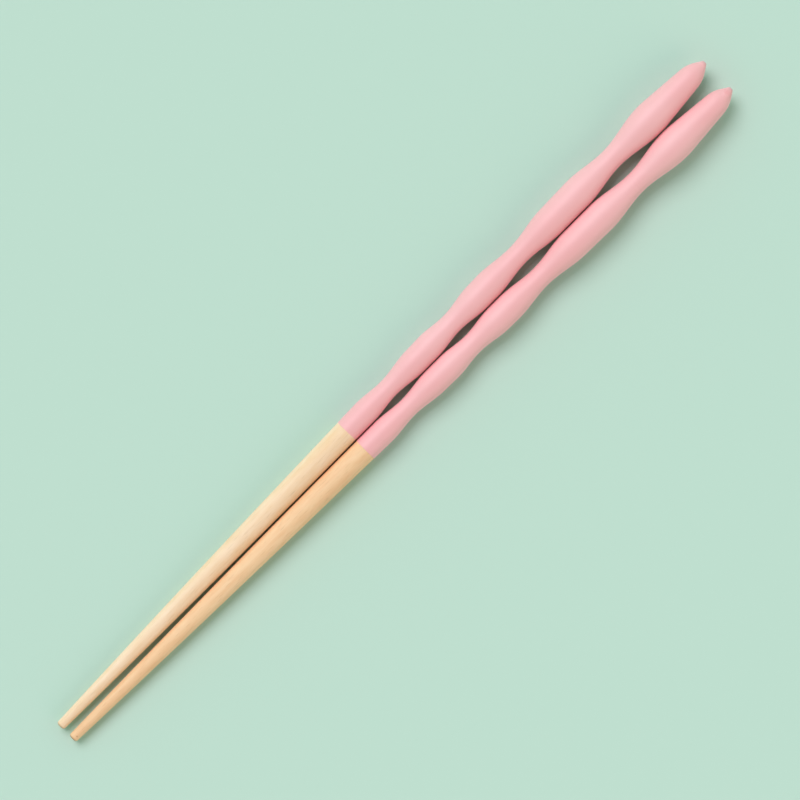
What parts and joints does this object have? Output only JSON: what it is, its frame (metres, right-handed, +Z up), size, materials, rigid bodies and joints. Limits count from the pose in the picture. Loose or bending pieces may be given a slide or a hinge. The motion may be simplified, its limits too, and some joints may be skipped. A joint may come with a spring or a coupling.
{
  "type": "pair of wooden chopsticks",
  "caption": "Slender turned wooden chopsticks with bare tapering shanks and satin painted handles cut with shallow coves, lying side by side with their tips level.",
  "frame": {"origin": "on the surface that the pair lies on, under the middle of its bounding box", "axes": "+X along the sticks, from the tips to the ends of the handles; +Y towards left_chopstick; +Z up"},
  "size_m": [0.23, 0.0174, 0.0086],
  "materials": {
    "painted_wood": "satin"
  },
  "bodies": {
    "root": {"left_chopstick": "painted_wood", "right_chopstick": "painted_wood"}
  },
  "joints": []
}
